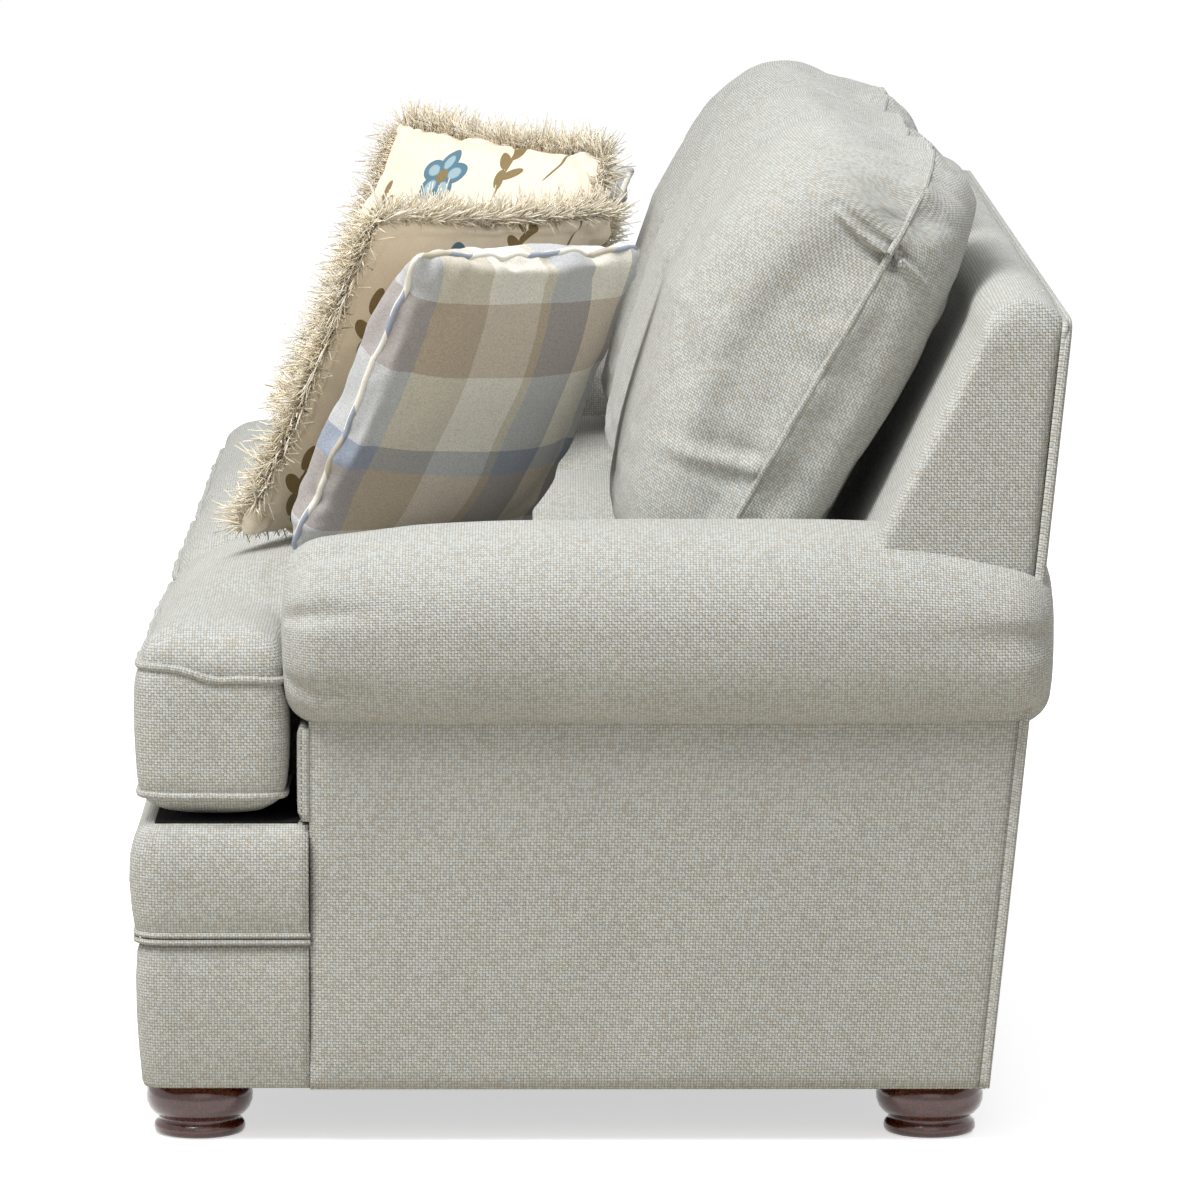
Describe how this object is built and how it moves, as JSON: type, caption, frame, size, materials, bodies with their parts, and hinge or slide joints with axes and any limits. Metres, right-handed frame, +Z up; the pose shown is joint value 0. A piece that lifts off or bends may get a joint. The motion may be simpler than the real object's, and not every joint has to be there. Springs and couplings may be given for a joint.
{
  "type": "sofa",
  "caption": "Rolled-arm upholstered sofa with loose T-shaped seat cushions, leaning back cushions, plaid and fringed throw pillows, and turned wooden bun feet.",
  "frame": {"origin": "on the floor, midway between the arms and midway between the front and the rear", "axes": "+Z up, -Y towards the front, +X towards the sitter's left"},
  "size_m": [2.2978, 1.009, 1.0879],
  "materials": {
    "upholstery": "heathered light grey basket weave",
    "frame_wood": "plain sawn hardwood",
    "steel": "dark coated wire and plated screws",
    "webbing": "jute webbing",
    "padding": "felted fibre pad",
    "lining": "thin black cloth",
    "foam": "foam wrapped in fibre",
    "dark_wood": "dark mahogany, satin lacquer",
    "plaid": "woven plaid in cream, greige, taupe and blue-grey",
    "floral": "cream linen with sprigs in tan and blue",
    "fringe": "cut cotton brush fringe"
  },
  "bodies": {
    "frame": {"front_rail": "frame_wood", "rear_rail": "frame_wood", "side_rail_left": "frame_wood", "side_rail_right": "frame_wood", "seat_stretchers": "frame_wood", "spring_rail": "frame_wood", "corner_blocks": "frame_wood", "arm_post_left": "frame_wood", "arm_post_right": "frame_wood", "arm_rail_left": "frame_wood", "arm_rail_right": "frame_wood", "back_post_left": "frame_wood", "back_post_right": "frame_wood", "back_top_rail": "frame_wood", "back_lower_rail": "frame_wood", "back_studs": "frame_wood", "back_webbing": "webbing", "seat_springs": "steel", "spring_clips": "steel", "spring_ties": "steel", "deck_pad": "padding", "seat_deck": "lining", "front_border": "upholstery", "lower_border": "upholstery", "border_welt": "upholstery", "arm_pad_left": "upholstery", "arm_pad_right": "upholstery", "outside_arm_left": "upholstery", "outside_arm_right": "upholstery", "arm_front_panel_left": "upholstery", "arm_front_panel_right": "upholstery", "arm_welts": "upholstery", "outside_back": "upholstery", "back_welt": "upholstery", "inside_back_pad": "upholstery", "dust_cover": "lining", "front_feet": "dark_wood", "rear_feet": "dark_wood", "centre_legs": "dark_wood", "foot_bolts": "steel"},
    "seat_cushion_left": {"seat_cushion_left": "upholstery", "seat_core_left": "foam"},
    "seat_cushion_middle": {"seat_cushion_middle": "upholstery", "seat_core_middle": "foam"},
    "seat_cushion_right": {"seat_cushion_right": "upholstery", "seat_core_right": "foam"},
    "back_cushion_left": {"back_cushion_left": "upholstery", "back_fill_left": "foam"},
    "back_cushion_middle": {"back_cushion_middle": "upholstery", "back_fill_middle": "foam"},
    "back_cushion_right": {"back_cushion_right": "upholstery", "back_fill_right": "foam"},
    "plaid_pillow_left": {"pillow_plaid_left": "plaid"},
    "fringed_pillow_left": {"pillow_floral_left": "floral", "fringe_left": "fringe"},
    "plaid_pillow_right": {"pillow_plaid_right": "plaid"},
    "fringed_pillow_right": {"pillow_floral_right": "floral", "fringe_right": "fringe"}
  },
  "joints": [
    {"name": "seat_cushion_left_slide", "type": "slide", "parent": "frame", "child": "seat_cushion_left", "axis": [0, -1, 0], "range_m": [0, 0.3]},
    {"name": "seat_cushion_middle_slide", "type": "slide", "parent": "frame", "child": "seat_cushion_middle", "axis": [0, -1, 0], "range_m": [0, 0.3]},
    {"name": "seat_cushion_right_slide", "type": "slide", "parent": "frame", "child": "seat_cushion_right", "axis": [0, -1, 0], "range_m": [0, 0.3]},
    {"name": "back_cushion_left_lift", "type": "slide", "parent": "frame", "child": "back_cushion_left", "axis": [0, 0.454, 0.891], "range_m": [0, 0.2]},
    {"name": "back_cushion_middle_lift", "type": "slide", "parent": "frame", "child": "back_cushion_middle", "axis": [0, 0.454, 0.891], "range_m": [0, 0.2]},
    {"name": "back_cushion_right_lift", "type": "slide", "parent": "frame", "child": "back_cushion_right", "axis": [0, 0.454, 0.891], "range_m": [0, 0.2]},
    {"name": "plaid_pillow_left_lift", "type": "slide", "parent": "seat_cushion_left", "child": "plaid_pillow_left", "axis": [0, 0, 1], "range_m": [0, 0.2]},
    {"name": "fringed_pillow_left_lift", "type": "slide", "parent": "plaid_pillow_left", "child": "fringed_pillow_left", "axis": [0, 0, 1], "range_m": [0, 0.2]},
    {"name": "plaid_pillow_right_lift", "type": "slide", "parent": "seat_cushion_right", "child": "plaid_pillow_right", "axis": [0, 0, 1], "range_m": [0, 0.2]},
    {"name": "fringed_pillow_right_lift", "type": "slide", "parent": "plaid_pillow_right", "child": "fringed_pillow_right", "axis": [0, 0, 1], "range_m": [0, 0.2]}
  ]
}
